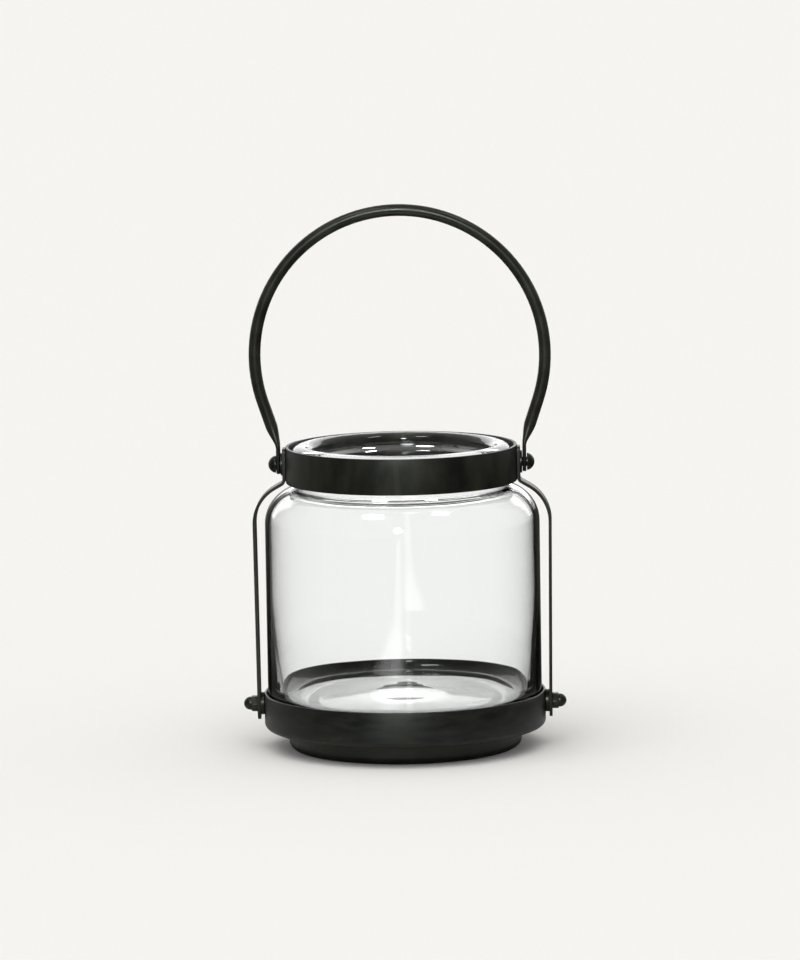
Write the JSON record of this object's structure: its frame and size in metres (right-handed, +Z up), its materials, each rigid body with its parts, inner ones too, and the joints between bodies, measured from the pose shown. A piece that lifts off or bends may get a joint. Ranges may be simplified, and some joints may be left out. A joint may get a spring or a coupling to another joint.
{
  "type": "hurricane candle lantern",
  "caption": "Clear glass jar with a rolled lip, held in a black iron collar, side straps and stepped tray, with a swinging tubular bail handle.",
  "frame": {"origin": "centre of the foot, on the surface that the lantern stands on", "axes": "+Z up; X runs through the two bail pivots and the two tray screws; the lantern is the same seen along +Y and -Y"},
  "size_m": [0.1722, 0.15, 0.2898],
  "materials": {
    "clear_glass": "clear blown glass",
    "black_iron": "antiqued black, satin",
    "black_fastener": "black oxide, satin"
  },
  "bodies": {
    "frame": {"glass_jar": "clear_glass", "collar_band": "black_iron", "left_strap": "black_iron", "right_strap": "black_iron", "base_tray": "black_iron", "foot_ring": "black_iron", "left_pivot_rivet": "black_fastener", "right_pivot_rivet": "black_fastener", "left_bail_washer": "black_fastener", "right_bail_washer": "black_fastener", "left_tray_screw": "black_fastener", "right_tray_screw": "black_fastener", "left_tray_spacer": "black_fastener", "right_tray_spacer": "black_fastener", "left_cap_nut": "black_fastener", "right_cap_nut": "black_fastener"},
    "bail": {"bail_handle": "black_iron"}
  },
  "joints": [
    {"name": "bail_swing", "type": "hinge", "parent": "frame", "child": "bail", "pos_m": [0, 0, 0.152], "axis": [1, 0, 0], "range_deg": [-125, 125]}
  ]
}
